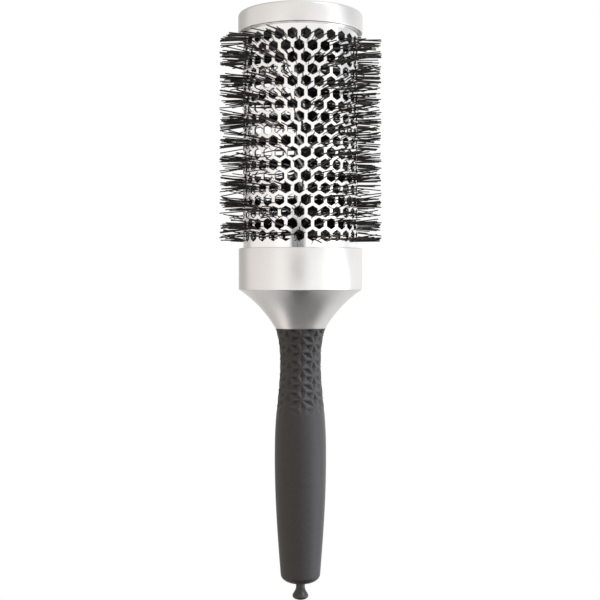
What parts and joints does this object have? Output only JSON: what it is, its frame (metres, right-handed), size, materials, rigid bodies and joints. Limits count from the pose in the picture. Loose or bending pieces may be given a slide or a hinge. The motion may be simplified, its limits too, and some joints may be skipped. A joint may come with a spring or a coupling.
{
  "type": "round barrel hair brush",
  "caption": "Round thermal hair brush: vented aluminium barrel with nylon bristles on a twisted wire core, flared silver collar, soft handle and a pull-out sectioning pick.",
  "frame": {"origin": "middle of the end of the pick's knob, the lowest point of the brush", "axes": "+Z along the brush's axis, from the knob to the end cap; -Y is the front, as the picture shows it"},
  "size_m": [0.0776, 0.0776, 0.2797],
  "materials": {
    "satin_silver": "satin metallic silver coat on moulded plastic",
    "barrel_aluminium": "polished",
    "bristle_nylon": "black nylon, blunt cut ends",
    "core_steel": "bright drawn wire",
    "plug_plastic": "grey moulded plastic",
    "core_plastic": "black moulded plastic",
    "grip_rubber": "soft-touch charcoal, fine matt",
    "pick_plastic": "charcoal, semi-gloss"
  },
  "bodies": {
    "brush": {"end_cap": "satin_silver", "top_core_plug": "plug_plastic", "barrel": "barrel_aluminium", "core_wire_a": "core_steel", "core_wire_b": "core_steel", "bristles": "bristle_nylon", "base_core_plug": "plug_plastic", "collar": "satin_silver", "handle_core": "core_plastic", "grip_sleeve": "grip_rubber", "pick_bush": "core_plastic"},
    "pick": {"pick": "pick_plastic"}
  },
  "joints": [
    {"name": "pick_slide", "type": "slide", "parent": "brush", "child": "pick", "axis": [0, 0, -1], "range_m": [0, 0.065]}
  ]
}
